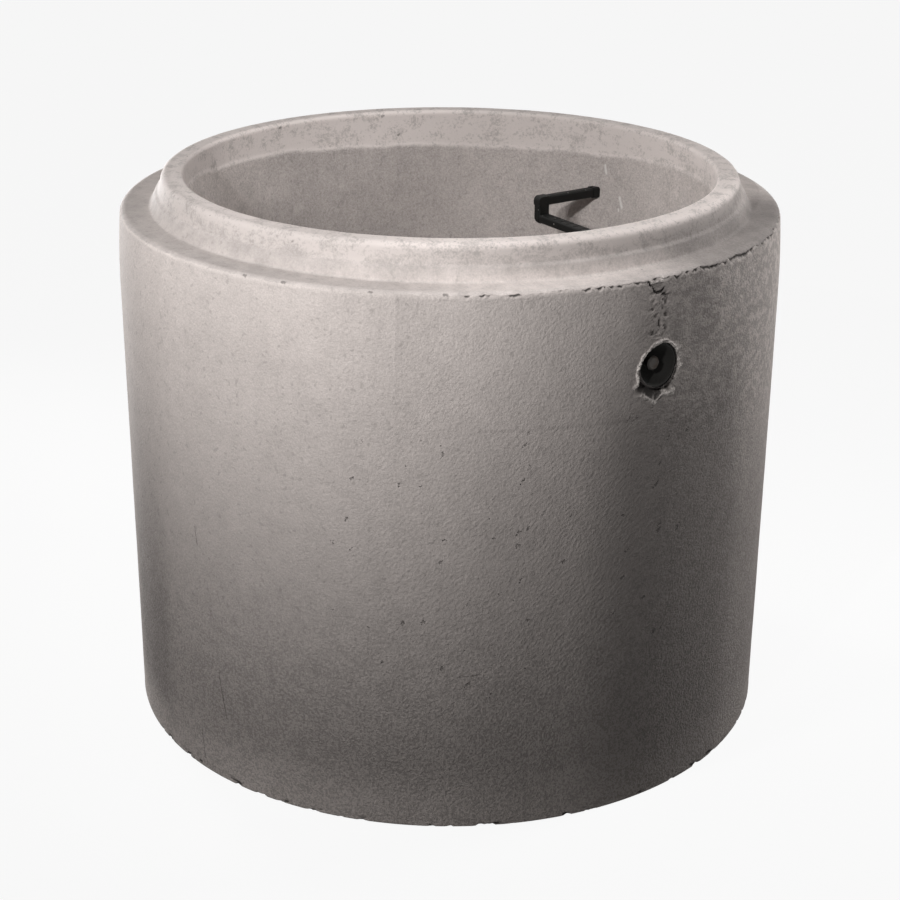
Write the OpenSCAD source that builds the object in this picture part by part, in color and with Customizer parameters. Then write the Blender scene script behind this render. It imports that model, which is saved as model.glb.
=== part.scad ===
/* [Ring] */
// Clear inner diameter of the ring
bore_d = 1000; // [800:10:1200]
// Thickness of the concrete wall
wall = 130; // [110:5:160]
// Height from the floor to the outer edge of the shoulder, one course of the well
ring_h = 1000; // [950:10:1150]
// Radius of the edge round the foot
foot_edge_r = 4; // [2:1:8]
// Radius of the worn outer edge of the shoulder
shoulder_edge_r = 12; // [6:1:16]
// Height of the stretch under the shoulder over which the wall draws in
draw_h = 140; // [80:10:200]
// How far the wall has drawn in where it meets the shoulder's edge
draw_in = 6; // [2:1:10]

/* [Spigot] */
// Height of the spigot's flat top above the outer edge of the shoulder
spigot_h = 60; // [52:1:70]
// Distance from the bore to the outer corner of the spigot's top
spigot_top_w = 46; // [40:1:48]
// Distance from the bore to the inner side of the small ledge round the spigot
spigot_ledge_in = 52; // [50:1:54]
// Distance from the bore to the outer side of the small ledge
spigot_ledge_out = 58; // [56:1:60]
// Height of the ledge's inner side above the shoulder
spigot_ledge_h = 26; // [20:1:32]
// How far the ledge falls towards its outer side
spigot_ledge_fall = 4; // [1:0.5:6]
// Distance from the bore to the foot of the spigot
spigot_foot_w = 65; // [62:1:68]
// Radius of the hollow where the spigot meets the shoulder
spigot_foot_r = 6; // [2:1:10]
// Radius of the spigot's outer top corner
spigot_corner_r = 14; // [6:1:16]
// Radius of the spigot's inner top edge
rim_inner_r = 8; // [2:1:10]

/* [Mouth band] */
// Height of the smooth band that the pallet ring leaves inside the mouth
band_h = 64; // [30:1:90]
// How far the band stands back from the bore
band_step = 2.5; // [1:0.5:5]

/* [Socket] */
// Gap left between the shoulder's outer edge and the ring above
course_gap = 12; // [10:1:20]
// Distance from the bore to the socket's flank at the floor
socket_mouth_w = 75; // [72:1:80]
// Distance from the bore to the socket's flank at its seat
socket_seat_w = 52; // [49:1:58]
// Size of the bevel at the socket's lip
socket_bevel = 4; // [1:1:8]

/* [Steps] */
// Depth of the top tread's axis below the outer edge of the shoulder
step_top_drop = 125; // [100:5:140]
// Distance between the axes of a step's two legs
step_leg_gap = 310; // [250:5:330]
// Distance from the wall, at the legs, to the front face of the guards
step_reach = 154; // [120:2:200]
// Width of a leg
leg_w = 20; // [16:1:26]
// Height of a leg
leg_h = 20; // [16:1:24]
// Depth of the tread, from front to back
tread_d = 26; // [22:1:34]
// Height of the tread
tread_h = 18; // [14:1:22]
// How far the tread's axis lies below the axis of the legs
tread_drop = 36; // [26:1:44]
// How far the raised guards stand out past the tread in front, behind and below
guard_rim = 1; // [0.5:0.5:3]
// Radius of the outer lower corner of a guard, seen from the front
guard_corner_r = 20; // [8:1:24]
// Radius of the long edges of the moulding
step_edge_r = 5; // [2:0.5:6]
// Length of leg cast into the wall
leg_embed = 75; // [50:1:85]
// How much larger the collar at the wall is than the leg, on each side
collar_rim = 1.5; // [1:0.5:4]
// Length of collar that shows in front of the wall
collar_front = 12; // [6:1:24]
// Length of collar sunk into the wall
collar_back = 10; // [8:1:20]
// Number of grip grooves across a tread
groove_count = 12; // [6:1:16]
// Radius of a grip groove
groove_r = 2.4; // [1.5:0.1:3]
// Depth of a grip groove
groove_depth = 1.4; // [0.6:0.1:2]

/* [Lifting points] */
// Depth of a lifting point's axis below the outer edge of the shoulder
lift_drop = 155; // [130:5:300]
// Inner radius of the round recess that takes the lifting clutch
cup_r = 37; // [30:1:42]
// Wall of the plastic cup that lines the recess
cup_wall = 2.5; // [1.5:0.5:4]
// How far the cup's mouth lies behind the outer face of the wall
cup_setback = 2; // [1:0.5:5]
// Depth of the anchor's head behind the outer face of the wall
head_setback = 11; // [8:1:15]
// Diameter of the anchor's head
head_d = 25; // [19:1:30]
// Height of the anchor's head
head_h = 9; // [7:1:12]
// Diameter of the anchor's shaft
shaft_d = 14; // [10:1:18]
// Diameter of the anchor's foot
foot_d = 35; // [28:1:44]
// Height of the anchor's foot
foot_h = 10; // [6:1:14]
// Overall length of the anchor
anchor_l = 85; // [75:1:90]

/* [Fit] */
// Space round every part that is cast into the wall
cast_clearance = 0.3; // [0.1:0.1:0.8]

/* [Hidden] */

$fn = 96;
big = 3 * (bore_d + ring_h);
cut_over = 5;
arc_steps = 6;

bore_r = bore_d / 2;
outer_r = bore_r + wall;
top_z = ring_h + spigot_h;
socket_depth = spigot_h - course_gap;

// The steps keep one pitch from ring to ring, so a ring's height is a whole number of pitches
step_count = 4;
step_pitch = ring_h / step_count;
step_z = [for (i = [1 : step_count]) ring_h - step_top_drop - (step_count - i) * step_pitch];
leg_x = step_leg_gap / 2;
wall_y = sqrt(pow(bore_r, 2) - pow(leg_x, 2));
step_front_y = wall_y - step_reach;
guard_d = tread_d + 2 * guard_rim;
guard_low = -tread_drop - tread_h / 2 - guard_rim;
tread_mid_y = step_front_y + guard_d / 2;
groove_pitch = (step_leg_gap - leg_w) / (groove_count + 1);

lift_z = ring_h - lift_drop;
head_top_x = outer_r - head_setback;

// Points of a round corner, from one direction to another, about a centre
function arc(c, r, from, to) =
    [for (i = [0 : arc_steps]) let (a = from + (to - from) * i / arc_steps)
        [c[0] + r * cos(a), c[1] + r * sin(a)]];

// Half section of the ring, from the socket at the floor to the spigot on top
module ring_section() {
    draw_r = (pow(draw_h, 2) + pow(draw_in, 2)) / (2 * draw_in);
    draw_z = ring_h - shoulder_edge_r - draw_h;
    points = concat(
        [[bore_r, socket_depth],
         [bore_r + socket_seat_w, socket_depth],
         [bore_r + socket_mouth_w - socket_bevel / 2, socket_bevel],
         [bore_r + socket_mouth_w + socket_bevel / 2, 0]],
        arc([outer_r - foot_edge_r, foot_edge_r], foot_edge_r, -90, 0),
        arc([outer_r - draw_r, draw_z], draw_r, 0, asin(draw_h / draw_r)),
        arc([outer_r - draw_in - shoulder_edge_r, ring_h - shoulder_edge_r], shoulder_edge_r, 12, 90),
        arc([bore_r + spigot_foot_w + spigot_foot_r, ring_h + spigot_foot_r], spigot_foot_r, 270, 198),
        [[bore_r + spigot_ledge_out, ring_h + spigot_ledge_h - spigot_ledge_fall],
         [bore_r + spigot_ledge_in, ring_h + spigot_ledge_h]],
        arc([bore_r + spigot_top_w - spigot_corner_r, top_z - spigot_corner_r], spigot_corner_r, 16, 90),
        arc([bore_r + band_step + rim_inner_r, top_z - rim_inner_r], rim_inner_r, 90, 180),
        [[bore_r + band_step, top_z - band_h],
         [bore_r, top_z - band_h - band_step]]
    );
    polygon(points);
}

// Rectangle with round corners, about its centre
module rounded_rect(w, h, r) {
    square([w - 2 * r, h], center = true);
    square([w, h - 2 * r], center = true);
    for (x = [-1, 1])
        for (y = [-1, 1])
            translate([x * (w / 2 - r), y * (h / 2 - r)])
                circle(r);
}

// Bar along Y from one place to another, with the section of a leg and some growth round it
module leg_bar(y_from, y_to, grow) {
    translate([0, y_to, 0])
        rotate([90, 0, 0])
            linear_extrude(y_to - y_from)
                rounded_rect(leg_w + 2 * grow, leg_h + 2 * grow, step_edge_r);
}

// One leg with its collar; growth makes the pocket that the concrete holds it in
module leg_with_collar(grow) {
    leg_bar(step_front_y, wall_y + leg_embed + grow, grow);
    leg_bar(wall_y - collar_front, wall_y + collar_back + grow, collar_rim + grow);
}

// Side outline of a step, which rounds the knuckle where the leg turns down
module step_side() {
    back_y = wall_y + leg_embed + cut_over;
    over_y = wall_y - collar_front;
    over_z = leg_h / 2 + collar_rim + cut_over;
    knuckle_r = leg_h / 2;
    polygon(concat(
        [[back_y, guard_low], [back_y, over_z], [over_y, over_z], [over_y, leg_h / 2]],
        arc([step_front_y + knuckle_r, leg_h / 2 - knuckle_r], knuckle_r, 90, 180),
        arc([step_front_y + step_edge_r, guard_low + step_edge_r], step_edge_r, 180, 270)));
}

// Front outline of a step, which rounds the outer lower corners of the guards
module step_front() {
    half_w = leg_x + leg_w / 2;
    corner_z = guard_low + guard_corner_r;
    translate([-half_w, corner_z])
        square([2 * half_w, big]);
    translate([guard_corner_r - half_w, guard_low])
        square([2 * (half_w - guard_corner_r), big]);
    for (side = [-1, 1])
        translate([side * (half_w - guard_corner_r), corner_z])
            circle(guard_corner_r);
}

// One leg that ends in a raised guard
module guarded_leg() {
    intersection() {
        union() {
            leg_with_collar(0);
            translate([0, tread_mid_y, guard_low])
                linear_extrude(leg_h / 2 - guard_low)
                    rounded_rect(leg_w, guard_d, step_edge_r);
        }
        rotate([90, 0, 90])
            linear_extrude(big, center = true)
                step_side();
    }
}

// Tread between the two guards, with grip grooves across its top
module tread() {
    difference() {
        translate([-leg_x, tread_mid_y, -tread_drop])
            rotate([90, 0, 90])
                linear_extrude(step_leg_gap)
                    rounded_rect(tread_d, tread_h, step_edge_r);
        for (i = [1 : groove_count])
            translate([-leg_x + leg_w / 2 + i * groove_pitch,
                       step_front_y - cut_over,
                       -tread_drop + tread_h / 2 + groove_r - groove_depth])
                rotate([-90, 0, 0])
                    cylinder(h = guard_d + 2 * cut_over, r = groove_r);
    }
}

// Step iron with a moulded plastic coat, placed by the height of its tread's axis
module step_iron(z) {
    color([0.14, 0.14, 0.13])
    translate([0, 0, z + tread_drop])
        intersection() {
            union() {
                tread();
                for (side = [-1, 1])
                    translate([side * leg_x, 0, 0])
                        guarded_leg();
            }
            translate([0, big / 2, 0])
                rotate([90, 0, 0])
                    linear_extrude(big)
                        step_front();
        }
}

// Moves a part from the axis of its own turning to the lifting point on one side
module at_lift(side) {
    rotate([0, 0, side > 0 ? 0 : 180])
        translate([0, 0, lift_z])
            children();
}

// Anchor with a round head and a forged foot, turned about the line into the wall
module anchor_body(grow) {
    head_r = head_d / 2;
    dome = head_h / 3;
    translate([head_top_x, 0, 0])
        rotate([0, -90, 0])
            rotate_extrude()
                polygon([[0, 0],
                         [head_r - dome, 0],
                         [head_r, dome],
                         [head_r, head_h - dome],
                         [shaft_d / 2 + grow, head_h],
                         [shaft_d / 2 + grow, anchor_l - foot_h - grow],
                         [foot_d / 2 + grow, anchor_l - foot_h / 2 - grow],
                         [foot_d / 2 + grow, anchor_l + grow],
                         [0, anchor_l + grow]]);
}

module lifting_anchor(side) {
    color([0.42, 0.40, 0.37])
    at_lift(side)
        anchor_body(0);
}

// Plastic cup that lines the recess, open to the outside, with a hole for the anchor's shaft
module anchor_cup(side) {
    color([0.10, 0.10, 0.10])
    at_lift(side)
        difference() {
            intersection() {
                translate([outer_r, 0, 0])
                    sphere(r = cup_r + cup_wall);
                cylinder(h = big, r = outer_r - cup_setback, center = true);
            }
            translate([outer_r, 0, 0])
                sphere(r = cup_r);
            translate([outer_r, 0, 0])
                rotate([0, -90, 0])
                    cylinder(h = big, d = shaft_d + 2 * cast_clearance);
        }
}

// The casting: turned wall, pockets for the legs and recesses for the lifting points
module concrete_ring() {
    color([0.66, 0.64, 0.62])
    difference() {
        rotate_extrude()
            ring_section();
        for (z = step_z)
            for (side = [-1, 1])
                translate([side * leg_x, 0, z + tread_drop])
                    leg_with_collar(cast_clearance);
        for (side = [-1, 1])
            at_lift(side) {
                translate([outer_r, 0, 0])
                    sphere(r = cup_r + cup_wall + cast_clearance);
                anchor_body(cast_clearance);
            }
    }
}

concrete_ring();
step_iron(step_z[0]);  // step_1
step_iron(step_z[1]);  // step_2
step_iron(step_z[2]);  // step_3
step_iron(step_z[3]);  // step_4
lifting_anchor(1);  // lifting_anchor_1
lifting_anchor(-1);  // lifting_anchor_2
anchor_cup(1);  // anchor_cup_1
anchor_cup(-1);  // anchor_cup_2
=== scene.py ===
import bpy, math
import numpy as np
from mathutils import Matrix, Vector


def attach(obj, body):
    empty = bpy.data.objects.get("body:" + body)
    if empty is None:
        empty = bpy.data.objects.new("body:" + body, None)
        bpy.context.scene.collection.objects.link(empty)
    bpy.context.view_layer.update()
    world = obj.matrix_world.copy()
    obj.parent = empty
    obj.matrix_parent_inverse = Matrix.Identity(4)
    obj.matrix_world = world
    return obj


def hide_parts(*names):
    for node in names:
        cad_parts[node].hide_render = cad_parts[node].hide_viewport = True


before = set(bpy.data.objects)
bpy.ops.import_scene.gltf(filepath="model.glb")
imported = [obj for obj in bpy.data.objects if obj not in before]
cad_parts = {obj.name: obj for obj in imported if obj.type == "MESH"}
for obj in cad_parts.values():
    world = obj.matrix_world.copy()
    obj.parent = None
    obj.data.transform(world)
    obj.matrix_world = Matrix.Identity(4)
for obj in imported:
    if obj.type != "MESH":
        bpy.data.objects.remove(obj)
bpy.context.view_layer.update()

# The camera stands in front of the ring and above it, where the photograph was taken from.
# Its place, its turn and its lens were fitted to the outlines of the ring.
CAMERA_PLACE = (2.8936, -1.9507, 1.8943)
CAMERA_TURN, CAMERA_TILT, CAMERA_ROLL = math.radians(55.96), math.radians(67.89), 0.0075
CAMERA_LENS, FILM_WIDTH = 74.78, 36
camera = bpy.data.objects.new("camera", bpy.data.cameras.new("camera"))
bpy.context.scene.collection.objects.link(camera)
camera.data.lens, camera.data.sensor_width = CAMERA_LENS, FILM_WIDTH
camera.matrix_world = (Matrix.Translation(CAMERA_PLACE) @ Matrix.Rotation(CAMERA_TURN, 4, "Z")
                       @ Matrix.Rotation(CAMERA_TILT, 4, "X") @ Matrix.Rotation(CAMERA_ROLL, 4, "Z"))
bpy.context.scene.camera = camera

# The ring is one casting of nearly dry concrete, rammed in a steel mould and stripped at once. That
# leaves an open, slightly torn wall, a smooth cement skin where the pallet and the press ring touched
# it, a broken edge round the shoulder and crumbled mouths round the two lifting points.
BORE, OUTER, SHOULDER, TOP = 500.0, 630.0, 1000.0, 1060.0    # in millimetres, until the mesh is made
LIFT_HEIGHT, CUP_OUTSIDE = 845.0, 41.0
DRAW_FROM, DRAW_HIGH, DRAW_IN = 848.0, 140.0, 6.0            # the wall draws in 6 mm over its top
EDGE_MIDDLE, EDGE_ROUND = (612.0, 988.0), 12.0               # the shoulder's rounding
LIP_AT = 10.0                                                # how far down it the skin breaks off
BAND_BACK, BAND_AT, RIM_FROM = 2.5, 994.0, 1052.0            # the band is set back 2.5 mm from the bore
BAND_ROWS = np.array([9, 6, 4, 2, 0, -2, -4, -6, -9, -13])   # rows of vertices over its lower border
# Height of that border round the ring, as in the photograph: degrees and millimetres
BAND_BORDER = np.array([[0, 1002], [60, 1012], [90, 1004], [107, 992], [134, 984], [154, 986],
                        [168, 987], [183, 994], [200, 999], [220, 1010], [260, 1016], [320, 1008],
                        [360, 1002]], float)
WALL_COLUMNS, WINDOW_COLUMNS = 288, 2016                     # counted round the whole ring


def lattice_noise(places, size, seed):
    """Smooth noise from -1 to 1. Each corner of a lattice of cubes of the given size holds a random
    value, and a place takes the blend of the eight corners round it, eased by 3t^2 - 2t^3."""
    values = np.random.default_rng(seed).uniform(-1, 1, 8192)
    cell = np.floor(places / size).astype(np.int64)
    t = places / size - cell
    t = t * t * (3 - 2 * t)
    total = 0
    for corner in range(8):
        step = np.array([corner & 1, corner >> 1 & 1, corner >> 2 & 1])
        key = (cell + step) @ np.array([73856093, 19349663, 83492791])
        share = np.prod(np.where(step == 1, t, 1 - t), axis=-1)
        total = total + values[(key ^ key >> 13) & 8191] * share
    return total


def rough(places, size, seed, octaves=3):
    """Noise of several sizes: each lattice has half the size and half the height of the one before."""
    return sum(lattice_noise(places, size / 2 ** k, seed + 7 * k) / 2 ** k for k in range(octaves))


def ease(low, high, x):
    """Smooth step: 0 below low, 1 above high, and 3t^2 - 2t^3 between them."""
    t = np.clip((x - low) / (high - low), 0, 1)
    return t * t * (3 - 2 * t)


def hump(x, middle, half):
    """A smooth hump, 1 at the middle and 0 beyond half a width on each side: (1 - t^2)^2."""
    return np.clip(1 - ((x - middle) / half) ** 2, 0, 1) ** 2


def degrees_from(theta, place):
    """Signed angle in degrees from a place round the ring, from -180 to 180."""
    return (np.degrees(theta) - place + 180) % 360 - 180


def on_circle(theta, radius=OUTER):
    """Points of a circle at height 0, radius * (cos, sin), where noise is read for edges that run
    round the ring."""
    return np.stack([radius * np.cos(theta), radius * np.sin(theta), np.zeros_like(theta)], -1)


def straight(start, end, rows):
    """Rows of a section along a straight line, without its end: start + (end - start) * t."""
    t = np.arange(rows)[:, None] / rows
    return np.array(start) + (np.array(end) - np.array(start)) * t


def rounding(centre, radius, start, end, rows):
    """Rows of a section round an arc, both ends included: centre + radius * (cos a, sin a)."""
    a = np.radians(np.linspace(start, end, rows))
    return np.stack([centre[0] + radius * np.cos(a), centre[1] + radius * np.sin(a)], -1)


def wall_radius(z):
    """Radius of the wall at a height. Its top is an arc of radius R that starts upright:
    outer - R + sqrt(R^2 - climb^2), where R = (high^2 + in^2) / (2 in)."""
    bend = (DRAW_HIGH ** 2 + DRAW_IN ** 2) / (2 * DRAW_IN)
    return OUTER - bend + np.sqrt(bend ** 2 - np.clip(z - DRAW_FROM, 0, None) ** 2)


# The section runs up the bore, over the spigot, along the shoulder, down the wall, under the foot and
# back up the socket. Each stretch has its rows (radius, height) and its number of columns. On the
# edge's rounding two rows lie close together where the skin breaks off.
wall_z = np.linspace(966, 14, 49)
edge_z = np.linspace(987.4, 968, 9)
edge_turn = np.radians(90 - np.array([0, 14, 27, 38, 46.5, 48.5, 55, 64, 74, 83]))
edge_arc = np.array(EDGE_MIDDLE) + EDGE_ROUND * np.stack([np.cos(edge_turn), np.sin(edge_turn)], -1)
band_r = BORE + BAND_BACK
SECTION = [
    ("bore", 192, straight((BORE, 48), (BORE, 960), 14)),
    ("band", 384, np.stack([BORE + BAND_BACK * ease(-6, 6, BAND_ROWS), BAND_AT + BAND_ROWS], -1)[::-1]),
    ("mouth", 384, straight((band_r, 1008), (band_r, RIM_FROM), 5)),
    ("rim", 512, np.vstack([
        rounding((510.5, RIM_FROM), 8, 180, 90, 6), straight((515, TOP), (532, TOP), 3),
        rounding((532, 1046), 14, 90, 16, 6), straight((547, 1044.4), (551.5, 1027.8), 3),
        [(551.5, 1027.8), (552.2, 1026.2), (554.6, 1024.4), (557.4, 1022.6), (558.4, 1020.6)],
        straight((559.9, 1017), (564.6, 1006), 3), rounding((571, 1006), 6, 190, 270, 5)])),
    ("shoulder", 768, straight((575, SHOULDER), (608, SHOULDER), 5)),
    ("edge", 1344, np.vstack([straight((606, SHOULDER), (612, SHOULDER), 3), edge_arc,
                              np.stack([wall_radius(edge_z), edge_z], -1)])),
    ("wall", WALL_COLUMNS, np.stack([wall_radius(wall_z), wall_z], -1)),
    ("foot", 768, np.vstack([straight((OUTER, 11), (OUTER, 4), 3), rounding((626, 4), 4, 0, -90, 5),
                             [(622, 0), (616, 0)]])),
    ("lip", 192, np.vstack([straight((604, 0), (577, 0), 2), [(577, 0), (573, 4)],
                            straight((573, 4), (552, 48), 6)[1:], straight((552, 48), (BORE, 48), 4)])),
]
# The relief is pushed along each row's outward direction, a quarter turn from the section's way
rows_all = np.vstack([rows for _, _, rows in SECTION])
way = np.roll(rows_all, -1, 0) - np.roll(rows_all, 1, 0)
outward_all = np.stack([-way[:, 1], way[:, 0]], -1) / np.linalg.norm(way, axis=1)[:, None]
outward_of = np.split(outward_all, np.cumsum([len(rows) for _, _, rows in SECTION])[:-1])

places, triangles = [], []
# What each vertex shows of smooth cement skin, of fresh break and of crevice, which is painted dark as shade,
# from 0 to 1
shares = {"skin": [], "fresh": [], "crack_and_shade": []}


def lay(points, *look):
    """Adds a grid of finished points and their shares to the casting, and returns their numbers."""
    first = sum(len(p) for p in places)
    places.append(points.reshape(-1, 3))
    for kept, share in zip(shares.values(), look):
        kept.append(np.broadcast_to(share, points.shape[:-1]).reshape(-1))
    return first + np.arange(points[..., 0].size).reshape(points.shape[:-1])


def zip_loops(outer, outer_at, inner, inner_at):
    """Joins two closed loops of different counts by triangles. Each edge of one loop takes as its tip
    the vertex of the other that is reached when their edges are sorted by their middles."""
    outer_mid = (outer_at + np.append(outer_at[1:], outer_at[0] + 1)) / 2
    inner_mid = (inner_at + np.append(inner_at[1:], inner_at[0] + 1)) / 2
    tip = np.searchsorted(inner_mid, outer_mid, "left") % len(inner)
    back = np.searchsorted(outer_mid, inner_mid, "right") % len(outer)
    triangles.append(np.stack([outer, inner[tip], np.roll(outer, -1)], -1))
    triangles.append(np.stack([outer[back], inner, np.roll(inner, -1)], -1))


def zip_rows(upper, lower):
    """Joins two rows that go all the way round the ring."""
    zip_loops(upper, np.arange(len(upper)) / len(upper), lower, np.arange(len(lower)) / len(lower))


def fill_cells(grid, keep=None):
    """Two triangles for each cell of a grid, but for the cells that are left open."""
    a, b, c, d = grid[:-1, :-1], grid[1:, :-1], grid[1:, 1:], grid[:-1, 1:]
    keep = np.ones(a.shape, bool) if keep is None else keep
    triangles.append(np.stack([a[keep], b[keep], d[keep]], -1))
    triangles.append(np.stack([d[keep], b[keep], c[keep]], -1))


def wall_relief(points):
    """Height of the rammed wall: broad waves of the mould plus shallow lumps, a little below it."""
    return 0.32 * rough(points, 260, 11, 2) + 0.2 * rough(points, 62, 12, 3) - 0.6


def wear_round(theta):
    """How worn the shoulder's edge is: strongly from -25 to 75 degrees, and a little elsewhere."""
    worn = 0.14 + 0.86 * ease(72, 44, np.abs(degrees_from(theta, 24)))
    return np.clip(worn + 0.35 * lattice_noise(on_circle(theta), 150, 21) * (worn > 0.2), 0.05, 1.2)


def ragged_lip(theta):
    """How far the line where the shoulder's cement skin has broken off strays from its mean place:
    coarse plus fine noise, more where the edge is worn."""
    ring = on_circle(theta)
    return (0.35 + 0.9 * wear_round(theta)) * (1.6 * rough(ring, 46, 22, 2) + 2.2 * rough(ring, 11, 23, 3))


BITE_DEEP = 3.2                                 # depth of a bite out of the edge, in millimetres


def edge_wear(theta, t):
    """Wear of the shoulder's edge, as height and as share of crevice, which is painted dark as shade. The
    cement skin ends in a ragged line; the concrete below it is torn out in bites, which are as high as they
    are deep and come back
    to the wall over some millimetres: depth = bite * (1 - way across it)^0.8, with crumbs in it."""
    ring = on_circle(theta)
    turn = degrees_from(theta, 0)
    mean = 0.48 + 0.45 * ease(-1, 7, turn) * ease(120, 90, turn)
    bite = wear_round(theta) * (mean + 0.9 * rough(ring, 8, 25, 3) + 0.5 * lattice_noise(ring, 40, 26))
    across = (t - LIP_AT - ragged_lip(theta)) / (2.5 + 5 * np.clip(bite, 0, 2))
    below = np.where((across > 0) & (across < 1), 1 - across, 0)
    crumbs = np.clip(rough(np.stack([theta * OUTER, t, 0 * t], -1), 7, 28, 2), -1, 1)
    depth = np.clip(bite, 0, 1.6) * BITE_DEEP * below ** 0.8
    return -depth - 0.5 * crumbs * ease(0.3, 1.5, depth), ease(0.2, 0.9, bite) * below


# The crack above a lifting point, in millimetres round the wall from it and up the wall
LONG_CRACK = [(-23, 993), (-16, 983), (-10, 974), (-5, 971), (3, 973), (9, 977)]
SHORT_CRACK = [(7, 969), (12, 968), (13, 964)]
CHIP_HALF, CHIP_FROM = 60, 868                  # the cracked part of the wall, half its width and its foot
CHIP_PLACES = ((0, 0), (180, 9))                # degrees, and a shift that makes the second one differ
CRACK_DEEP, WEDGE_DEEP, POCK_DEEP, RIDGE_HIGH, STRIP_DEEP = 4.5, 1.5, 1.8, 1.4, 0.3


def near_line(y, z, path):
    """Distance from a broken line of (y, z) corners on the wall: the least distance from the nearest
    place of each of its straight parts."""
    nearest = 1e3
    for (y0, z0), (y1, z1) in zip(path, path[1:]):
        along, rise = y1 - y0, z1 - z0
        share = np.clip(((y - y0) * along + (z - z0) * rise) / (along ** 2 + rise ** 2), 0, 1)
        nearest = np.minimum(nearest, np.hypot(y - y0 - share * along, z - z0 - share * rise))
    return nearest


def chip_over_hole(y, z):
    """The cracked wedge in the edge above a lifting point, and the pocked strip below it where the
    clutch's bar dragged: height, share of crevice, which is painted dark as shade, and share of fresh crumbs.
    Cracks, pocks and ridges are eased masks, each with its own depth, and the heights add up."""
    flat = np.stack([y, z, 0 * y], -1)
    y = y + 1.3 * rough(flat, 9, 31, 2)
    z = z + 1.3 * rough(flat, 9, 32, 2)
    crack_and_shade = ease(2.8, 1.2, near_line(y, z, LONG_CRACK))
    crack_and_shade = np.maximum(crack_and_shade, 0.8 * ease(2.4, 1.0, near_line(y, z, SHORT_CRACK)))
    wedge = ease(0, 3, 14 - np.abs(y + 4) + 0.7 * (z - 988)) * ease(973, 977, z)
    strip = ease(26, 14, np.abs(y + 2)) * ease(880, 905, z) * ease(985, 965, z)
    pock = ease(0.12, 0.60, rough(flat, 7, 34, 3)) * strip
    ridge = ease(0.45, 0.95, rough(flat, 9, 35, 2)) * np.maximum(strip, 1.5 * wedge)
    height = -CRACK_DEEP * crack_and_shade - WEDGE_DEEP * wedge - POCK_DEEP * pock + RIDGE_HIGH * ridge
    return height - STRIP_DEEP * strip, np.maximum(crack_and_shade, 0.52 * pock), 0.6 * ridge * wedge


# The crumbled mouth of a lifting point, as in the photograph: angle round it in degrees, radius of
# the opening and radius of the bead round it in millimetres. Under the mouth they part.
MOUTH = np.array([
    [-195, 34.8, 38.3], [-182, 36.4, 40.5], [-170, 36.8, 42.5], [-157, 37, 44.5], [-146, 37.3, 49.5],
    [-134, 37.3, 57.5], [-116, 37.5, 57.3], [-103, 39, 61], [-93, 40, 66], [-83, 42, 58],
    [-75, 43.5, 55], [-57, 43.5, 64.5], [-44, 43.3, 55], [-30, 42.8, 51.8], [-16, 42.5, 51.8],
    [11, 42.5, 46.4], [34, 42.3, 44.6], [56, 41.3, 44.6], [79, 38.8, 43.3], [101, 34, 38.6],
    [122, 33, 36.6], [150, 34.8, 38.0], [165, 34.8, 38.3], [178, 36.4, 40.5], [190, 36.8, 42.5]])
BEAD_HIGH, HOLLOW_DEEP, GAP_DEEP, UNDERCUT_DEEP = 1.8, 2.2, 7.0, 2.5


def mouth_angle(turn):
    """Angle round a mouth in degrees, from -185 to 175, the range that the table covers."""
    return (np.degrees(turn) + 185) % 360 - 185


def hole_edge(turn):
    """Radius of the crumbled mouth of a lifting point and of the bead round it at an angle, between
    the table's values and shaken by noise, and how far the two have parted there, from 0 to 1."""
    angle = mouth_angle(turn)
    mouth, bead = np.interp(angle, MOUTH[:, 0], MOUTH[:, 1]), np.interp(angle, MOUTH[:, 0], MOUTH[:, 2])
    shake = 0.7 * rough(40 * np.stack([np.cos(turn), np.sin(turn), 0 * turn], -1), 5, 42, 2)
    return mouth + shake, bead + shake, ease(6, 12, bead - mouth)


def hole_relief(y, up):
    """Height round the mouth of a lifting point, share of crevice, which is painted dark as shade, and share
    of fresh crumbs. A thin granular bead of squeezed-out cement, a hump over the bead's radius, runs round
    the broken hollow under the mouth; ribs of noise that run outwards leave ridges and gaps inside that
    hollow. The gaps, the undercut below the bead and the hollow's floor, by the ribs, are painted dark as
    shade."""
    turn, out = np.arctan2(up, y), np.hypot(y, up)
    angle = mouth_angle(turn)
    mouth, ridge, parted = hole_edge(turn)
    flat = np.stack([y, up, 0 * y], -1)
    grains = rough(flat, 5.0, 45, 2)
    low_right = ease(-160, -60, angle) * ease(60, 0, angle)
    half_width = 4.4 + 1.3 * rough(flat, 9, 46, 1) + 3.0 * low_right
    bead = BEAD_HIGH + 2.0 * grains + 0.5 * np.cos(turn - 2.4) + 0.8 * parted
    bead = np.clip(bead, 0.3 + 1.3 * parted, None)
    bead = bead * hump(out, ridge + 0.8 * rough(flat, 8, 48, 1), half_width)
    inside = ease(1.0, 3.5, ridge - out) * parted
    ribs = rough(np.stack([9.0 * turn * 5, out * 0.35, 0 * y], -1), 8.0, 47, 2)
    gaps = inside * ease(0.30, -0.05, ribs) * ease(11.0, 4.0, out - mouth)
    gaps = gaps * (1 - 0.8 * ease(-70, -45, angle))
    under = ease(0.2, 0.6, rough(flat, 7, 49, 2)) * hump(out, ridge + 3.8, 2.8)
    under = under * np.maximum(ease(-118, -104, angle) * ease(-68, -82, angle), 0.7 * ease(-150, -162, angle))
    shade = np.clip(0.38 - 1.1 * ribs, 0.05, 0.95) * inside * ease(-50, -80, angle)
    height = bead - 0.9 * ease(70, 46, out) - inside * (HOLLOW_DEEP + 1.2 * grains)
    height = height - GAP_DEEP * gaps - UNDERCUT_DEEP * under
    crumbs = np.clip(ease(0.3, 1.0, bead) + 0.45 * inside - gaps - shade, 0, 1)
    return height, np.maximum(np.maximum(gaps, under), shade), crumbs


FOOT_NICK_DEEP = 7.5


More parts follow.
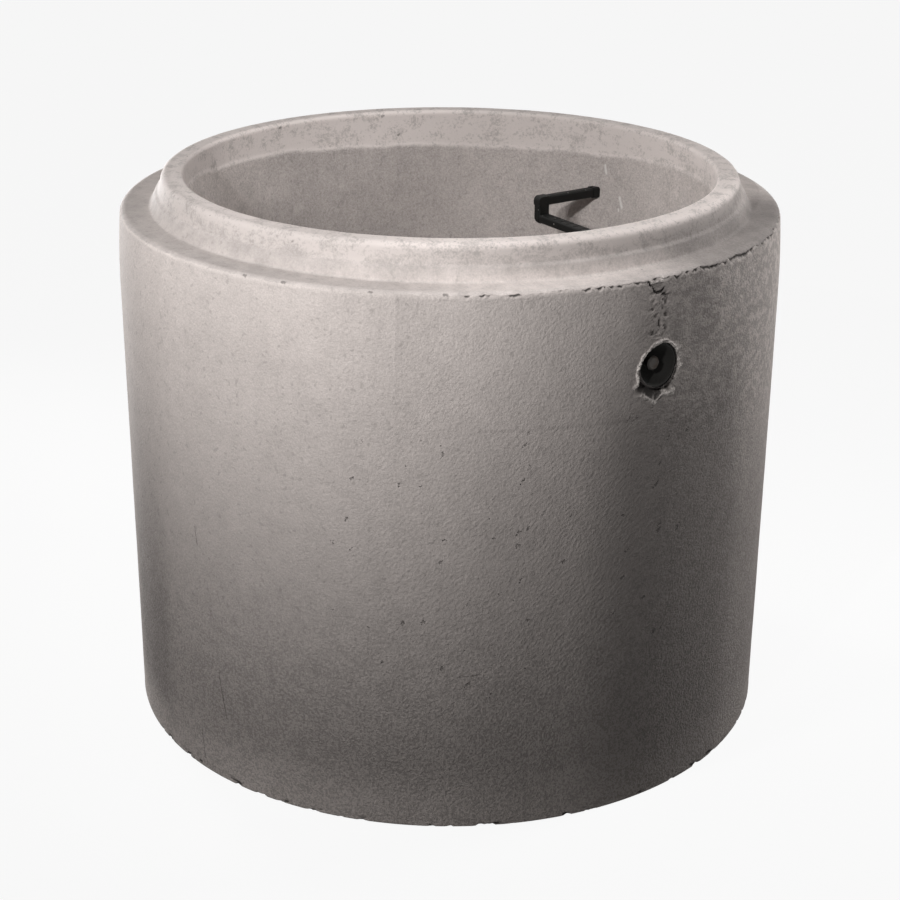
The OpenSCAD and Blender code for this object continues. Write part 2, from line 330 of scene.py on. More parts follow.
def finished(theta, radius, z, outward_r, outward_z, stretch, t):
    """Finished points of a stretch: the turned section, pushed along its outward direction by the
    relief that belongs there. Also the shares of smooth skin, of fresh break and of crevice, which is painted
    dark as shade.
    Nothing stands out past the mould, which is the size of the ring."""
    base = np.stack([radius * np.cos(theta), radius * np.sin(theta), z], -1)
    height, skin, fresh, crack_and_shade = wall_relief(base), 0.0, 0.0 * z, 0.0 * z
    if stretch in ("rim", "shoulder"):
        nick = ease(0.95, 1.15, rough(base, 9, 53, 2))
        height = 0.2 * rough(base, 120, 51, 2) + 0.15 * rough(base, 22, 52, 2) - 0.35 - 0.9 * nick
        # Nicks in the rim and the shoulder get a share of crevice: painted shade in them
        skin, crack_and_shade = 1 - 0.5 * nick, 0.5 * nick
    if stretch in ("band", "mouth"):
        height = 0.3 * rough(base, 90, 54, 2) - 0.4
        skin = t
    if stretch == "edge":
        wear, crack_and_shade = edge_wear(theta, t)
        skin = ease(1, -1, t - LIP_AT - ragged_lip(theta)) * (1 - crack_and_shade)
        height = height * ease(6, 20, t) + (0.2 * rough(base, 40, 52, 2) - 0.35) * ease(14, 4, t) + wear
    if stretch == "foot":
        nicks = np.clip(rough(base * [1, 1, 1.6], 15, 55, 3) - 0.30, 0, None)
        nicks = nicks * ease(13, 3, z) * ease(612, 622, radius)
        height = height * ease(2, 10, z) - FOOT_NICK_DEEP * nicks
        # The foot's nicks get a share of crevice: painted shade in them
        crack_and_shade = 0.7 * ease(0.05, 0.25, nicks)
    push_r, push_z = outward_r * height, outward_z * height
    if stretch in ("edge", "wall", "window"):
        for place, shift in CHIP_PLACES:
            y = OUTER * np.radians(degrees_from(theta, place)) + shift
            close = (np.abs(y) < CHIP_HALF) & (z > CHIP_FROM)
            cut, dark, crumbs = chip_over_hole(y[close], z[close])
            push_r[close] += cut
            crack_and_shade[close] = np.maximum(crack_and_shade[close], dark)
            fresh[close] = np.maximum(fresh[close], crumbs)
    grown = np.minimum(radius + push_r, OUTER)
    up = np.clip(z + push_z, 0, TOP)
    return np.stack([grown * np.cos(theta), grown * np.sin(theta), up], -1), skin, fresh, crack_and_shade


# The stretches are laid one after another, and the last row of each is zipped to the first of the next.
# t is the way along the rounding for the edge, and the share of smooth skin for the band and the mouth.
# The rows of the edge follow its ragged line, and those of the band its wavy border.
first_row = last_row = None
for (stretch, columns, rows), outward in zip(SECTION, outward_of):
    theta = np.broadcast_to(2 * np.pi * np.arange(columns) / columns, (len(rows), columns))
    radius = np.broadcast_to(rows[:, :1], theta.shape).copy()
    z = np.broadcast_to(rows[:, 1:], theta.shape).copy()
    t = 0 * theta
    if stretch == "edge":
        length = np.append(0, np.cumsum(np.linalg.norm(np.diff(rows, axis=0), axis=1)))
        flat_part = rows[3, 0] - rows[0, 0]
        t = length[:, None] - flat_part + t
        t = t + ragged_lip(theta) * hump(t, LIP_AT, 17)
        radius = np.interp(t + flat_part, length, rows[:, 0])
        z = np.interp(t + flat_part, length, rows[:, 1])
    if stretch == "band":
        border = np.interp(np.degrees(theta), BAND_BORDER[:, 0], BAND_BORDER[:, 1])
        z += border - BAND_AT + 2.4 * rough(on_circle(theta, BORE), 70, 56, 3)
        t = np.broadcast_to(ease(-6, 5, BAND_ROWS[::-1, None]), theta.shape)
        band_top = z[-1]
    if stretch == "mouth":
        z = band_top + (RIM_FROM - band_top) * (np.arange(len(rows))[:, None] + 0.6) / len(rows)
        t = 1 + t
    points, *look = finished(theta, radius, z, outward[:, :1], outward[:, 1:], stretch, t)
    grid = lay(points, *look)
    if last_row is None:
        first_row = grid[0]
    else:
        zip_rows(last_row, grid[0])
    closed = np.concatenate([grid, grid[:, :1]], 1)
    if stretch == "wall":
        wall_grid = closed
    else:
        fill_cells(closed)
    last_row = grid[-1]
zip_rows(last_row, first_row)


def clockwise(grid):
    """The border of a grid as a closed loop, from its upper left corner round by the right, with
    each vertex's share of the way, a quarter for each side."""
    loop = np.concatenate([grid[0, :-1], grid[:-1, -1], grid[-1, :0:-1], grid[:0:-1, 0]])
    steps = (grid.shape[1] - 1, grid.shape[0] - 1) * 2
    return loop, np.concatenate([k + np.arange(n) / n for k, n in enumerate(steps)]) / 4


# Round each lifting point the wall has a window of finer rows and columns, and in that a round patch
# with the crumbled mouth and the hollow behind the plastic cup. A window takes the place of 10 rows
# and 10 columns of the wall, and the patch that of a square in the window.
WALL_ROWS, WALL_HALF = 10, 5                    # what a window takes out: rows, and half its columns
WINDOW_ROWS, WINDOW_HALF = 96, 33               # a window's rows, and half its columns
SQUARE_HALF, SQUARE_SIDE = 51, 6                # the square's half height, and the columns beside it
PATCH_OUT, PATCH_RINGS, PATCH_TURNS = 49, 14, 192        # the patch's radius, rings and vertices in one
CLEAR_OF_MOUTH = 36                             # a window's relief stays outside this radius
CUP_RIM = 40.6                                  # behind its edge a mouth widens at least to this radius
BOWL_ROWS = np.array([0.985, 0.93, 0.8, 0.55, 0.28])[:, None]    # rows of the hollow, over its radius
open_cells = np.ones((len(wall_z) - 1, WALL_COLUMNS), bool)
fine_z = np.linspace(wall_z[0] - 3, wall_z[WALL_ROWS] + 4, WINDOW_ROWS)
for side, turn_to in ((1, 0.0), (-1, math.pi)):
    middle = 0 if side > 0 else WALL_COLUMNS // 2
    picked = np.arange(middle - WALL_HALF, middle + WALL_HALF + 1) % WALL_COLUMNS
    open_cells[:WALL_ROWS, picked[:-1]] = False
    block = wall_grid[:WALL_ROWS + 1, picked]

    theta = turn_to + 2 * np.pi / WINDOW_COLUMNS * np.arange(-WINDOW_HALF, WINDOW_HALF + 1)
    theta, z = np.meshgrid(theta, fine_z)
    points, skin, fresh, crack_and_shade = finished(theta, wall_radius(z), z, 1.0, 0.0, "window", 0 * z)
    y = OUTER * np.sin(theta - turn_to)
    relief, gaps, crumbs = hole_relief(y, z - LIFT_HEIGHT)
    near = np.hypot(y, z - LIFT_HEIGHT) > CLEAR_OF_MOUTH
    points[..., 0] = side * np.minimum(side * points[..., 0] + relief * near, OUTER)
    fine = lay(points, skin, np.maximum(fresh, crumbs * near), np.maximum(crack_and_shade, gaps * near))
    zip_loops(*clockwise(block), *clockwise(fine))
    row_a, row_b = np.flatnonzero(np.abs(fine_z - LIFT_HEIGHT) < SQUARE_HALF)[[0, -1]]
    col_a, col_b = SQUARE_SIDE, 2 * WINDOW_HALF - SQUARE_SIDE
    keep = np.ones((WINDOW_ROWS - 1, 2 * WINDOW_HALF), bool)
    keep[row_a:row_b, col_a:col_b] = False
    fill_cells(fine, keep)

    # The round patch starts at the square's first corner; its rings close up from there to the mouth
    square, _ = clockwise(fine[row_a:row_b + 1, col_a:col_b + 1])
    every = np.vstack(places)
    corner_at = np.arctan2(every[square, 2] - LIFT_HEIGHT, side * every[square, 1])
    square_share = (corner_at[0] - corner_at) % (2 * np.pi) / (2 * np.pi)
    square_share[0] = 0
    ring_share = np.arange(PATCH_TURNS) / PATCH_TURNS
    turn = corner_at[0] - 2 * np.pi * ring_share
    mouth, _, _ = hole_edge(turn)
    out = mouth + np.linspace(1, 0, PATCH_RINGS)[:, None] ** 1.15 * (PATCH_OUT - mouth)
    y, up = out * np.cos(turn), out * np.sin(turn)
    theta, z = turn_to + np.arcsin(y / OUTER), LIFT_HEIGHT + up
    points, skin, fresh, crack_and_shade = finished(theta, OUTER + 0 * z, z, 1.0, 0.0, "window", 0 * z)
    relief, gaps, crumbs = hole_relief(y, up)
    points[..., 0] = side * np.minimum(side * points[..., 0] + relief, OUTER)
    points[..., 1] = side * y
    outside = lay(points, skin, np.maximum(fresh, crumbs), np.maximum(crack_and_shade, gaps))
    zip_loops(square, square_share, outside[0], ring_share)

    # The broken edge has rows 0.9, 1.6 and 7 mm behind the wall's face, and the hollow that the cup
    # left behind it is a half ball, all crevice, painted dark as shade
    edge = np.maximum(mouth + 0.3, CUP_RIM)
    bowl = CUP_OUTSIDE * BOWL_ROWS + 0 * turn
    out = np.vstack([mouth, edge, edge - 0.4, bowl])
    sag = (out * np.cos(turn)) ** 2 / (2 * OUTER)
    depth = np.vstack([0.9 + sag[0], 1.6 + sag[1], 7 + 0 * turn, np.sqrt(CUP_OUTSIDE ** 2 - bowl ** 2)])
    hollow = np.stack([OUTER - depth, out * np.cos(turn), LIFT_HEIGHT + out * np.sin(turn)], -1)
    inside = lay(hollow * [side, side, 1], 0.0, 0.0, 1.0)
    bottom = lay(np.array([[[side * (OUTER - CUP_OUTSIDE), 0, LIFT_HEIGHT]]]), 0.0, 0.5, 0.3)
    whole = np.vstack([outside, inside])
    fill_cells(np.concatenate([whole, whole[:, :1]], 1))
    last = whole[-1]
    triangles.append(np.stack([last, np.full(PATCH_TURNS, bottom[0, 0]), np.roll(last, -1)], -1))
fill_cells(wall_grid, open_cells)

casting_mesh = bpy.data.meshes.new("ring_casting")
corners = np.concatenate(places).astype(np.float32) / 1000
faces = np.concatenate(triangles).astype(np.int32)
casting_mesh.vertices.add(len(corners))
casting_mesh.vertices.foreach_set("co", corners.ravel())
casting_mesh.loops.add(faces.size)
casting_mesh.loops.foreach_set("vertex_index", faces.ravel())
casting_mesh.polygons.add(len(faces))
casting_mesh.polygons.foreach_set("loop_start", np.arange(0, faces.size, 3, dtype=np.int32))
casting_mesh.polygons.foreach_set("use_smooth", np.ones(len(faces), bool))
casting_mesh.update(calc_edges=True)
for name, values in shares.items():
    layer = casting_mesh.attributes.new(name, "FLOAT", "POINT")
    layer.data.foreach_set("value", np.concatenate(values).astype(np.float32))
casting = bpy.data.objects.new("ring_casting", casting_mesh)
bpy.context.scene.collection.objects.link(casting)


def feed(node, inputs):
    """Gives sockets of a node what they need: a wire is linked, and anything else is set as a value."""
    for name, value in inputs.items():
        if isinstance(value, Wire):
            node.id_data.links.new(value.socket, node.inputs[name])
        else:
            node.inputs[name].default_value = value


class Wire:
    """A socket of a material's node tree. Python's operators on it add Math nodes to the tree."""

    def __init__(self, tree, socket=None):
        self.tree, self.socket = tree, socket

    def node(self, kind, settings=(), inputs=(), output=0):
        """Adds a node of a type, its settings first, then the values or wires of its sockets, and
        gives the wire of one of its outputs."""
        made = self.tree.nodes.new(kind)
        for name, value in dict(settings).items():
            setattr(made, name, value)
        feed(made, dict(inputs))
        return Wire(self.tree, made.outputs[output])

    def also(self, output):
        """Another output of the node that this wire comes from."""
        return Wire(self.tree, self.socket.node.outputs[output])

    def maths(self, operation, *values):
        """A Math node of an operation on one, two or three values."""
        return self.node("ShaderNodeMath", {"operation": operation}, dict(enumerate(values)))

    def vectors(self, operation, inputs, output=0):
        """A Vector Math node of an operation."""
        return self.node("ShaderNodeVectorMath", {"operation": operation}, inputs, output)

    def __add__(self, other): return self.maths("ADD", self, other)
    def __radd__(self, other): return self.maths("ADD", other, self)
    def __sub__(self, other): return self.maths("SUBTRACT", self, other)
    def __rsub__(self, other): return self.maths("SUBTRACT", other, self)
    def __mul__(self, other): return self.maths("MULTIPLY", self, other)
    def __rmul__(self, other): return self.maths("MULTIPLY", other, self)
    def __truediv__(self, other): return self.maths("DIVIDE", self, other)

    def smooth(self, low, high):
        """0 at low, 1 at high, eased by 3t^2 - 2t^3 between them."""
        return self.node("ShaderNodeMapRange", {"interpolation_type": "SMOOTHSTEP"},
                         {"Value": self, "From Min": low, "From Max": high})

    def noise(self, where, scale, detail=2.0, roughness=0.5):
        """Noise about 0.5, with the scale in turns of the pattern to a metre."""
        return self.node("ShaderNodeTexNoise", {}, {"Vector": where, "Scale": scale, "Detail": detail,
                                                    "Roughness": roughness})

    def blend(self, share, first, second):
        """Mix of two colours; a plain colour is given as three numbers."""
        plain = [(*c, 1.0) if isinstance(c, tuple) else c for c in (first, second)]
        return self.node("ShaderNodeMix", {"data_type": "RGBA"}, {0: share, 6: plain[0], 7: plain[1]}, 2)


def new_finish(name):
    """An empty material with its main shader, and a wire to build on."""
    finish = bpy.data.materials.new(name)
    finish.use_nodes = True
    return finish, finish.node_tree.nodes["Principled BSDF"], Wire(finish.node_tree)


# The concrete's material. Here lengths are in metres.
concrete, shader, w = new_finish("dry_cast_concrete")
here = w.node("ShaderNodeTexCoord", output=3)
x = w.node("ShaderNodeSeparateXYZ", {}, {0: here})
y, z = x.also(1), x.also(2)
skin, fresh, crack_and_shade = (w.node("ShaderNodeAttribute", {"attribute_name": kind}, output=2) for kind in shares)
bare = 1 - skin
radius = w.maths("SQRT", x * x + y * y)
bore = radius.smooth(0.56, 0.54)


def towards(degrees):
    """Cosine of the angle between a place's direction from the axis and a direction round the ring:
    (x cos + y sin) / radius."""
    turn = math.radians(degrees)
    return (x * math.cos(turn) + y * math.sin(turn)) / radius


def sector(middle, full, none):
    """A soft sector of the ring round a direction: 1 within the first angle from it, 0 beyond the
    second, all in degrees, eased over the cosines between them."""
    return towards(middle).smooth(math.cos(math.radians(none)), math.cos(math.radians(full)))


broad = w.noise(here, 5.0)
cloud = w.noise(here, 30.0, 2.0, 0.6)
lump = w.noise(here, 190.0, 1.0, 0.7)
fine = w.noise(here, 380.0, 0.0)
# A pattern drawn out along a slant, for what the mould dragged as it was lifted off
drawn_out = w.node("ShaderNodeMapping", {"vector_type": "TEXTURE"}, {
    "Vector": here, "Rotation": (math.radians(48), 0, 0), "Scale": (1.0, 2.1, 1.0)})
dragged = w.noise(drawn_out, 185.0, 0.0)

# Scratches, air holes, flecks of cement and a crease. Each line runs between two places: degrees round
# the ring and millimetres up, twice, then its half width and the radius of the wall that it is on
LINES = {
    "scratch": [(-80.2, 503, -79.7, 467, 1.2, 630), (-75.5, 224, -74.1, 134, 1.5, 630),
                (-80.8, 79, -80.3, 23, 1.3, 630), (-32.2, 306, -28.6, 310, 1.1, 630)],
    "pit": [(-67.2, 997, -66.9, 996, 2.6, 620), (-60.2, 997, -59.8, 996, 2.4, 620),
            (-46.0, 997, -45.7, 996, 2.2, 620), (-34.8, 997, -34.4, 996, 2.6, 620),
            (190.6, 1052, 190.9, 1051, 2.2, 503), (162.6, 1051, 163.0, 1050, 2.8, 503),
            (158.7, 1009, 159.0, 1007, 2.6, 503)],
    "fleck": [(105.4, 970, 105.0, 955, 3.6, 500), (100.6, 908, 99.9, 889, 4.2, 500),
              (100.9, 883, 100.8, 880, 2.6, 500)],
    "crease": [(-29.3, 764, -17.0, 762, 4.0, 630), (-17.0, 762, -3.0, 757, 4.0, 630)],
}
ROUND = OUTER / 1000
unrolled = w.node("ShaderNodeCombineXYZ", {}, {0: w.maths("ARCTAN2", y, x) * ROUND, 1: z, 2: radius})


def on_unrolled(turn, high, at):
    """A place on the unrolled ring: way round it, height and radius, in metres."""
    return np.array([math.radians((turn + 180) % 360 - 180) * ROUND, high / 1000, at / 1000])


def off_line(turn_a, high_a, turn_b, high_b, half_width, at):
    """Distance from a line over its half width: the distance from start + way * share, where the share
    of the way is (place - start) . way / way^2, held between 0 and 1."""
    start = on_unrolled(turn_a, high_a, at)
    way = on_unrolled(turn_b, high_b, at) - start
    off = w.vectors("SUBTRACT", {0: unrolled, 1: tuple(start)})
    share = w.vectors("DOT_PRODUCT", {0: off, 1: tuple(way / (way @ way))}, 1)
    nearest = w.vectors("SCALE", {0: tuple(way), "Scale": w.node("ShaderNodeClamp", {}, {0: share})})
    return w.vectors("DISTANCE", {0: off, 1: nearest}, 1) / (half_width / 1000)


drawn = {}
for kind, lines in LINES.items():
    for line in lines:
        gap = off_line(*line)
        drawn[kind] = w.maths("MINIMUM", drawn[kind], gap) if kind in drawn else gap
uneven = (lump - 0.5) * 1.8
pits = (drawn["pit"] + uneven).smooth(1.5, 0.5)
flecks = (drawn["fleck"] + uneven).smooth(1.5, 0.2)
scratches = (drawn["scratch"] + uneven).smooth(1.5, 0.5)
# The crease has no relief: it only darkens the wall's brightness, a line of painted shade.
crease_shade = (drawn["crease"] + uneven * 0.5).smooth(1.3, 0.0)

# How strongly the grain shows: weakly at the upper left, strongly at the foot, at the right end and in
# the mottled area beside the lifting point
low = z.smooth(0.55, 0.15)
right_end = sector(32, 18.2, 36.9)
mottle_spot = sector(29.4, 17.9, 36.8) * z.smooth(0.62, 0.76) * bare
grainy = 0.68 + sector(-19.9, 14.1, 45.6) * 0.18 + z.smooth(0.50, 0.10) * 0.9 + mottle_spot * 0.5
grainy = grainy + right_end * (1 - mottle_spot) * 0.45
grainy = grainy + (0.95 - grainy) * bore

# Air holes: soft specks all over, and torn ones in the lower middle where the mould dragged upward
# The darkness of these air holes, like that of the pits and scratches, is painted shade; the torn ones also
# have relief in the bump.
speck = w.noise(here, 120.0, 0.0).smooth(0.30, 0.20)
torn = w.node("ShaderNodeTexVoronoi", {}, {"Vector": drawn_out, "Scale": 46.0})
torn_pick = w.node("ShaderNodeSeparateColor", {}, {0: torn.also(1)})
groups = sector(-19.9, 18.2, 40.5) * z.smooth(0.12, 0.42) * z.smooth(0.90, 0.55)
tear = (torn + (lump - 0.5) * 0.50).smooth(0.125, 0.06) * torn_pick.smooth(0.60, 0.64)
tear = tear * groups.smooth(0.15, 0.6)
hole_shade = w.maths("MAXIMUM", w.maths("MAXIMUM", tear * 0.85, pits), scratches * 0.8)

# The height of the surface, for the bump: grains of some 5 mm, lumps that the mould drew upward where
# the holes are torn too, and the holes
BUMP_HEIGHT = 0.0010
height = (lump * 1.1 + fine * 0.12 + dragged * (groups + 0.5) * 0.55) * grainy * (1 - skin * 0.75)
height = height + fresh * lump - tear * 2.2 - crack_and_shade * lump
bump = w.node("ShaderNodeBump", {}, {"Height": height, "Distance": BUMP_HEIGHT, "Strength": 1.0})

# Cement that dried unevenly: clouds, lumps and grains, more of them where the surface is coarse, and
# the mottled area. The skin is smoother, and on the bore it has pale smears.
CEMENT_DARK, CEMENT_LIGHT = (0.392, 0.353, 0.334), (0.588, 0.529, 0.501)
SKIN_DARK, SKIN_LIGHT = (0.425, 0.385, 0.365), (0.603, 0.543, 0.516)
BREAK_DARK, BREAK_LIGHT = (0.420, 0.382, 0.356), (0.920, 0.850, 0.805)
# The first colour is painted shade, laid into air holes, pits and scratches; the second is the pale cement of
# flecks.
HOLE_SHADE, FLECK = (0.10, 0.092, 0.085), (0.80, 0.77, 0.74)
coarse = w.maths("MAXIMUM", w.maths("MAXIMUM", low, bore), right_end * z.smooth(0.85, 0.65))
lengthened = w.node("ShaderNodeMapping", {}, {"Vector": here, "Scale": (1.0, 0.55, 1.0)})
mottle = (w.noise(lengthened, 72.0, 3.0, 0.8) - 0.5) * mottle_spot
grains = (lump - 0.5) * (coarse * (1.3 - bore * 0.7) + 0.85) + (fine - 0.5) * 0.60
tone = (broad - 0.5) * 0.5 + (cloud - 0.5) * (coarse * (0.6 - bore * 0.3) + 0.6) + grains * grainy + 0.5
tone = tone + mottle * 6.0 - mottle_spot * 0.05 - speck * 0.38
wall_colour = w.blend(tone, CEMENT_DARK, CEMENT_LIGHT)
flattened = w.node("ShaderNodeMapping", {}, {"Vector": here, "Scale": (1.0, 1.0, 3.5)})
smear = w.noise(flattened, 17.0, 2.0, 0.6).smooth(0.53, 0.62)
grains = (lump - 0.5) * (bore * 1.8 + 0.9) + (fine - 0.5) * 0.5
tone = (broad - 0.5) * 0.6 + (cloud - 0.5) * (bore * 1.6 + 1.6) + grains * grainy + 0.5
tone = tone - speck * 0.35 + (smear * 0.6 + 0.35) * bore
skin_colour = w.blend(tone, SKIN_DARK, SKIN_LIGHT)
break_colour = w.blend((fine - 0.5) * 1.6 + (lump - 0.5) * 1.6 + 0.62, BREAK_DARK, BREAK_LIGHT)
edge_of_skin = (skin + (cloud - 0.5) * bore * 1.2).smooth(0.1, 0.9)
colour = w.blend(edge_of_skin * 0.95, wall_colour, skin_colour)
colour = w.blend(fresh * 0.9, colour, break_colour)
# Painted shade in air holes, pits and scratches
colour = w.blend(hole_shade * 0.62, colour, HOLE_SHADE)
colour = w.blend(flecks * 0.7, colour, FLECK)

# Broad differences on the wall, mostly painted light and shade. It is darker from the top down, painted shade
# of the light's falloff, and paler just above the floor, painted light thrown up by the floor. It has painted
# light at the top in front, at the top right and on the left, painted shade in four stretches below, round
# the strip above the lifting point and a little at the back, and the mould's seam has a slightly darker side.
# Painted light: paler stretches of the wall
painted_light_top_front = sector(-16, 14.1, 29.5) * z.smooth(0.68, 0.96) * 0.36
painted_light_top_right = sector(32, 18.2, 28.4) * z.smooth(0.68, 0.96) * 0.20
painted_light_left = sector(-95, 8.1, 18.0) * (z.smooth(0.60, 0.76) * 0.07 + 0.05)
# Painted shade: darker stretches of the wall
painted_shade_under_hole = sector(6, 7.2, 20.0) * z.smooth(1.0, 0.70) * 0.40
painted_shade_front = sector(-19.9, 3.6, 14.1) * z.smooth(0.80, 0.55) * 0.08
painted_shade_right = sector(32, 5.7, 16.3) * z.smooth(0.75, 0.45) * 0.17
painted_shade_low_left = sector(-100, 4.4, 12.3) * z.smooth(0.02, 0.12) * z.smooth(0.65, 0.25) * 0.28
painted_shade_by_strip = sector(4, 5.1, 11.5) * z.smooth(0.82, 0.93) * 0.32
painted_light_and_shade = painted_light_top_front + painted_light_top_right + painted_light_left - painted_shade_under_hole - painted_shade_front - painted_shade_right - painted_shade_low_left - painted_shade_by_strip
# Painted shade, a little at the back
back = sector(180, 18.2, 43.9) * 0.13
# Painted shade: darker from the top down, as the light falls off
painted_shade_downward = (0.9 - z + (broad - 0.5) * 0.3).smooth(0.0, 0.95) * 0.21
# Painted light: paler just above the floor, thrown up by the floor
foot = z.smooth(0.14, 0.01) * (0.18 + sector(-50, 11.5, 36.9) * 0.22)
seam = towards(48).smooth(-0.002, 0.002) * z.smooth(0.70, 0.98) * x.smooth(0, 0.01)
seam = seam * radius.smooth(0.60, 0.61) * bare
bright = (0.975 - painted_shade_downward + foot) * (1 + painted_light_and_shade * bare) * (1 - back * bare)
bright = bright * (1 - seam * 0.11) * (1 - crease_shade * 0.13)

# On the spigot and the shoulder the front has painted light and the two ends painted shade, the far end's
# shoulder the spigot's painted shadow, and the rim the most painted light. In the bore the sides have painted
# light against the far middle, and a stretch beside the steps has painted shade.
painted_shade_left_end = sector(-95, 18.2, 56.6) * 0.20
painted_shade_far_end = sector(32, 16.3, 31.8) * (z.smooth(1.03, 1.0) * 0.37 + z.smooth(1.055, 1.045) * 0.18)
painted_shade_collar_ends = painted_shade_left_end + painted_shade_far_end + sector(15, 11.6, 25.9) * z.smooth(1.05, 1.03) * 0.22
painted_light_collar_front = sector(0, 18.2, 45.6) * (z.smooth(1.03, 1.0) * 0.36 + 0.08)
painted_light_rim = z.smooth(1.046, 1.058) * (sector(0, 25.8, 56.6) * 0.42 + sector(180, 18.2, 45.6) * 0.17 + 0.03)
bright = bright * (1 + (painted_light_collar_front - painted_shade_collar_ends) * skin * radius.smooth(0.52, 0.54) + painted_light_rim)
# Painted light on the bore's sides and painted shade beside the steps
painted_light_bore_sides = (1 - sector(146, 36.9, 65.2)) * (0.42 - skin * 0.29)
painted_shade_by_steps = sector(73.1, 7.7, 19.8) * bare * 0.14
bright = bright * (1 + radius.smooth(0.511, 0.505) * (painted_light_bore_sides + skin * 0.05 - painted_shade_by_steps))
# Crevices are painted darker: painted shade in cracks, bites, nicks, gaps and hollows
crevice_shade = (crack_and_shade + (lump - 0.5) * crack_and_shade * 1.2).smooth(0.15, 0.75)
bright = bright * (1 - bore * bare * 0.09) * (1 - crevice_shade * 0.8)
colour = w.vectors("SCALE", {0: colour, "Scale": bright})
feed(shader, {"Base Color": colour, "Normal": bump, "Roughness": 0.95 - skin * 0.12 + (fine - 0.5) * 0.1,
              "Specular IOR Level": 0.2})
casting_mesh.materials.append(concrete)
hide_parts("concrete_ring")
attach(casting, "root")

# The four step irons are steel bars with a black plastic coat moulded over them, cast into the wall
# while it was fresh. The moulding is dull, finely grained and powdered with cement dust on top.
COAT, DUST, DUST_SPECK = (0.0055, 0.0055, 0.005), (0.16, 0.15, 0.14), (0.30, 0.285, 0.27)
coat, shader, w = new_finish("moulded_black_plastic")
here = w.node("ShaderNodeTexCoord", output=3)
facing_up = w.node("ShaderNodeSeparateXYZ", {}, {0: w.node("ShaderNodeNewGeometry", output=1)}, 2)
grain = w.noise(here, 1400.0, 2.0, 0.6)
haze = w.noise(here, 38.0, 4.0, 0.6)
speck_near = w.node("ShaderNodeTexVoronoi", {}, {"Vector": here, "Scale": 95.0})
speck_pick = w.node("ShaderNodeSeparateColor", {}, {0: speck_near.also(1)})
speck = speck_near.smooth(0.20, 0.08) * speck_pick.smooth(0.86, 0.88)
dust = facing_up.smooth(0.2, 1.0) * haze.smooth(0.42, 0.75) * 0.10
colour = w.blend(speck * 0.8, w.blend(dust, COAT, DUST), DUST_SPECK)
bump = w.node("ShaderNodeBump", {}, {"Height": grain + speck * 2, "Distance": 0.0002, "Strength": 0.6})
feed(shader, {"Base Color": colour, "Normal": bump, "Roughness": 0.52 + dust * 1.2 + (haze - 0.5) * 0.2,
              "Specular IOR Level": 0.25})
for number in (1, 2, 3, 4):
    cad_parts[f"step_{number}"].material_slots[0].material = coat

# The lifting anchors are forged steel with a round head, which the clutch grips. Only the head shows,
# at the bottom of its cup, dull brown with the forging skin and a film of rust.
FORGED, RUSTED, SCALED = (0.050, 0.045, 0.041), (0.060, 0.046, 0.037), (0.09, 0.082, 0.074)
forged, shader, w = new_finish("forged_steel")
here = w.node("ShaderNodeTexCoord", output=3)
scale = w.noise(here, 120.0, 4.0, 0.6)
rust = w.noise(here, 55.0, 5.0, 0.65)
rusted = rust.smooth(0.42, 0.62)
colour = w.blend(scale.smooth(0.55, 0.75) * 0.6, w.blend(rusted, FORGED, RUSTED), SCALED)
bump = w.node("ShaderNodeBump", {}, {"Height": scale, "Distance": 0.0005, "Strength": 0.6})
feed(shader, {"Base Color": colour, "Normal": bump, "Metallic": 0.75 - rusted * 0.6,
              "Roughness": 0.55 + rust.smooth(0.4, 0.65) * 0.3})
for number in (1, 2):
    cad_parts[f"lifting_anchor_{number}"].material_slots[0].material = forged

# The cups are thin black plastic shells that keep the recess free of concrete round the anchor's head.
# They stay in the ring; cement slurry has dried on them in thin patches.
CUP, SLURRY = (0.016, 0.0152, 0.0135), (0.11, 0.105, 0.10)
shell, shader, w = new_finish("thin_black_plastic")
here = w.node("ShaderNodeTexCoord", output=3)
slurry = w.noise(here, 75.0, 5.0, 0.7)
grain = w.noise(here, 900.0)
film = slurry.smooth(0.66, 0.80) * 0.2
bump = w.node("ShaderNodeBump", {}, {"Height": grain * 0.3 + slurry, "Distance": 0.0004, "Strength": 0.5})
feed(shader, {"Base Color": w.blend(film * 0.4, CUP, SLURRY), "Normal": bump,
              "Roughness": 0.85 + film * 0.5, "Specular IOR Level": 0.3})
for number in (1, 2):
    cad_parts[f"anchor_cup_{number}"].material_slots[0].material = shell

# The floor is a plain pale ground. To the camera, to mirrors and to glass it looks nearly white and
# keeps the ring's shadow; for the light that it throws on the ring it is a grey.
FLOOR_HALF, GLOW_SHARE = 40, 0.92
GROUND_LIT, GROUND_SEEN = (0.55, 0.55, 0.55), (0.80, 0.80, 0.80)


def seen_rays(w):
    """1 for rays of the camera and for those that gloss or glass passes on, and 0 for all others: the
    sum of the three kinds, held at 1."""
    ray = w.node("ShaderNodeLightPath")
    rays = ray + ray.also("Is Glossy Ray") + ray.also("Is Transmission Ray")
    return w.node("ShaderNodeClamp", {}, {0: rays})


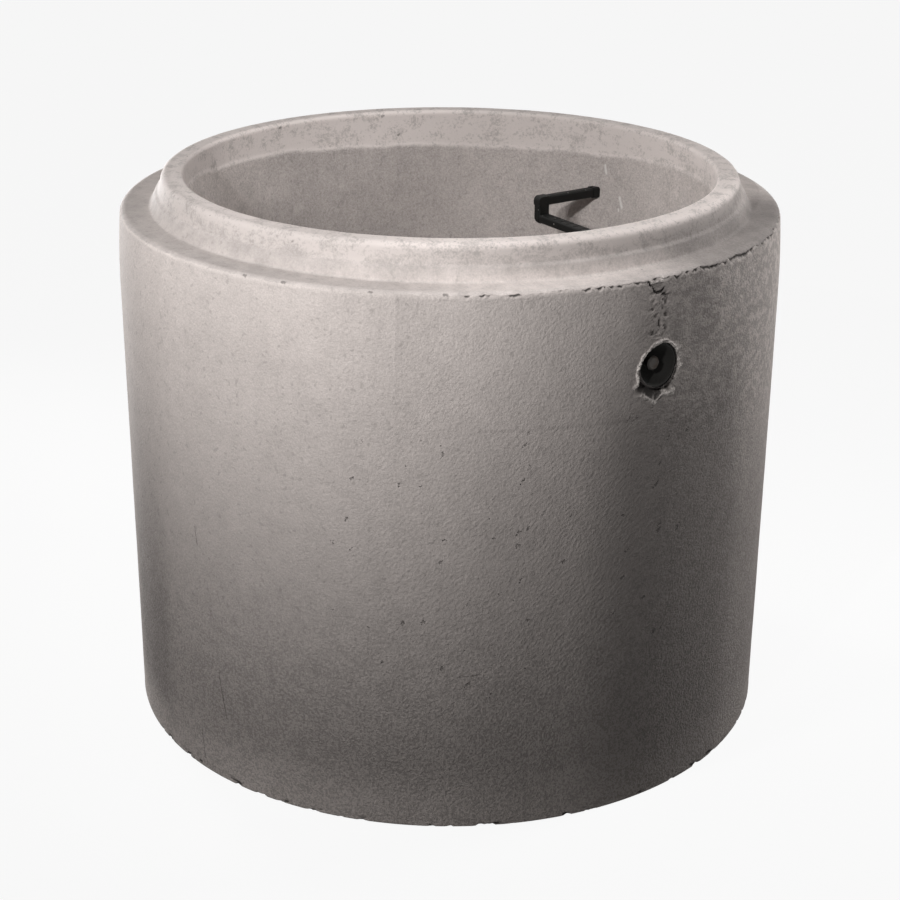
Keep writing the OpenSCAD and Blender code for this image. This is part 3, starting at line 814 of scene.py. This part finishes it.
floor_mesh = bpy.data.meshes.new("floor")
floor_mesh.from_pydata([(-FLOOR_HALF, -FLOOR_HALF, 0), (FLOOR_HALF, -FLOOR_HALF, 0),
                        (FLOOR_HALF, FLOOR_HALF, 0), (-FLOOR_HALF, FLOOR_HALF, 0)], [], [(0, 1, 2, 3)])
floor = bpy.data.objects.new("floor", floor_mesh)
bpy.context.scene.collection.objects.link(floor)
ground, shader, w = new_finish("pale_ground")
seen = seen_rays(w)
feed(shader, {"Base Color": w.blend(seen, GROUND_LIT, GROUND_SEEN), "Roughness": 1.0,
              "Specular IOR Level": 0.0})
glow = w.node("ShaderNodeEmission", {}, {"Color": (1, 1, 1, 1), "Strength": 1.0})
mixed = w.node("ShaderNodeMixShader", {}, {0: seen * GLOW_SHARE, 1: Wire(w.tree, shader.outputs[0]), 2: glow})
feed(ground.node_tree.nodes["Material Output"], {0: mixed})
floor_mesh.materials.append(ground)


# Soft studio light. The main lamp stands high in front, and its cone falls off down the wall. A near
# lamp and a low one fill the front, a narrow and a wide one light the left side, and two soft panels
# light the bore from the right and the whole from above.
def add_lamp(name, kind, place, travel, power, **facts):
    """A lamp at a place, which shines along a direction, with its power in watts."""
    lamp = bpy.data.lights.new(name, kind)
    lamp.energy = power
    for fact, value in facts.items():
        setattr(lamp, fact, value)
    stand = bpy.data.objects.new(name, lamp)
    stand.location = place
    stand.rotation_euler = Vector(travel).to_track_quat("-Z", "Y").to_euler()
    bpy.context.scene.collection.objects.link(stand)


def add_spot(name, place, travel, power, cone, softness):
    """A lamp with a soft-edged cone, whose whole angle is in degrees."""
    add_lamp(name, "SPOT", place, travel, power, spot_size=math.radians(cone), spot_blend=1.0,
             shadow_soft_size=softness)


add_spot("main_lamp", (2.466, -3.825, 3.269), (-2.466, 4.175, -2.269), 372, 28, 0.05)
add_spot("near_lamp", (1.076, -1.387, 1.951), (-1.276, 1.087, -0.951), 15, 18, 0.05)
add_spot("low_lamp", (0.637, -1.576, 1.7), (-0.537, 1.076, -0.8), 78, 75, 0.14)
add_spot("left_lamp", (-1.202, -1.202, 1.12), (0.757, 0.757, -0.12), 52, 26, 0.25)
add_spot("left_flood", (-3.088, -0.27, 0.8), (3.088, 0.27, -0.1), 490, 64, 0.5)
add_lamp("right_panel", "AREA", (0.803, 1.722, 1.7), (-0.803, -1.722, -1.1), 20.7, size=0.6)
add_lamp("top_panel", "AREA", (0.0, 0.0, 4.0), (0.0, 0.0, -1.0), 20, size=2.0)

WORLD_LIGHT = 0.02                              # strength for all rays but the seen ones, which get 1
world = bpy.data.worlds.new("surround")
bpy.context.scene.world = world
world.use_nodes = True
feed(world.node_tree.nodes["Background"], {
    "Strength": WORLD_LIGHT + seen_rays(Wire(world.node_tree)) * (1 - WORLD_LIGHT), "Color": (1, 1, 1, 1)})
bpy.context.scene.view_settings.view_transform = "Standard"
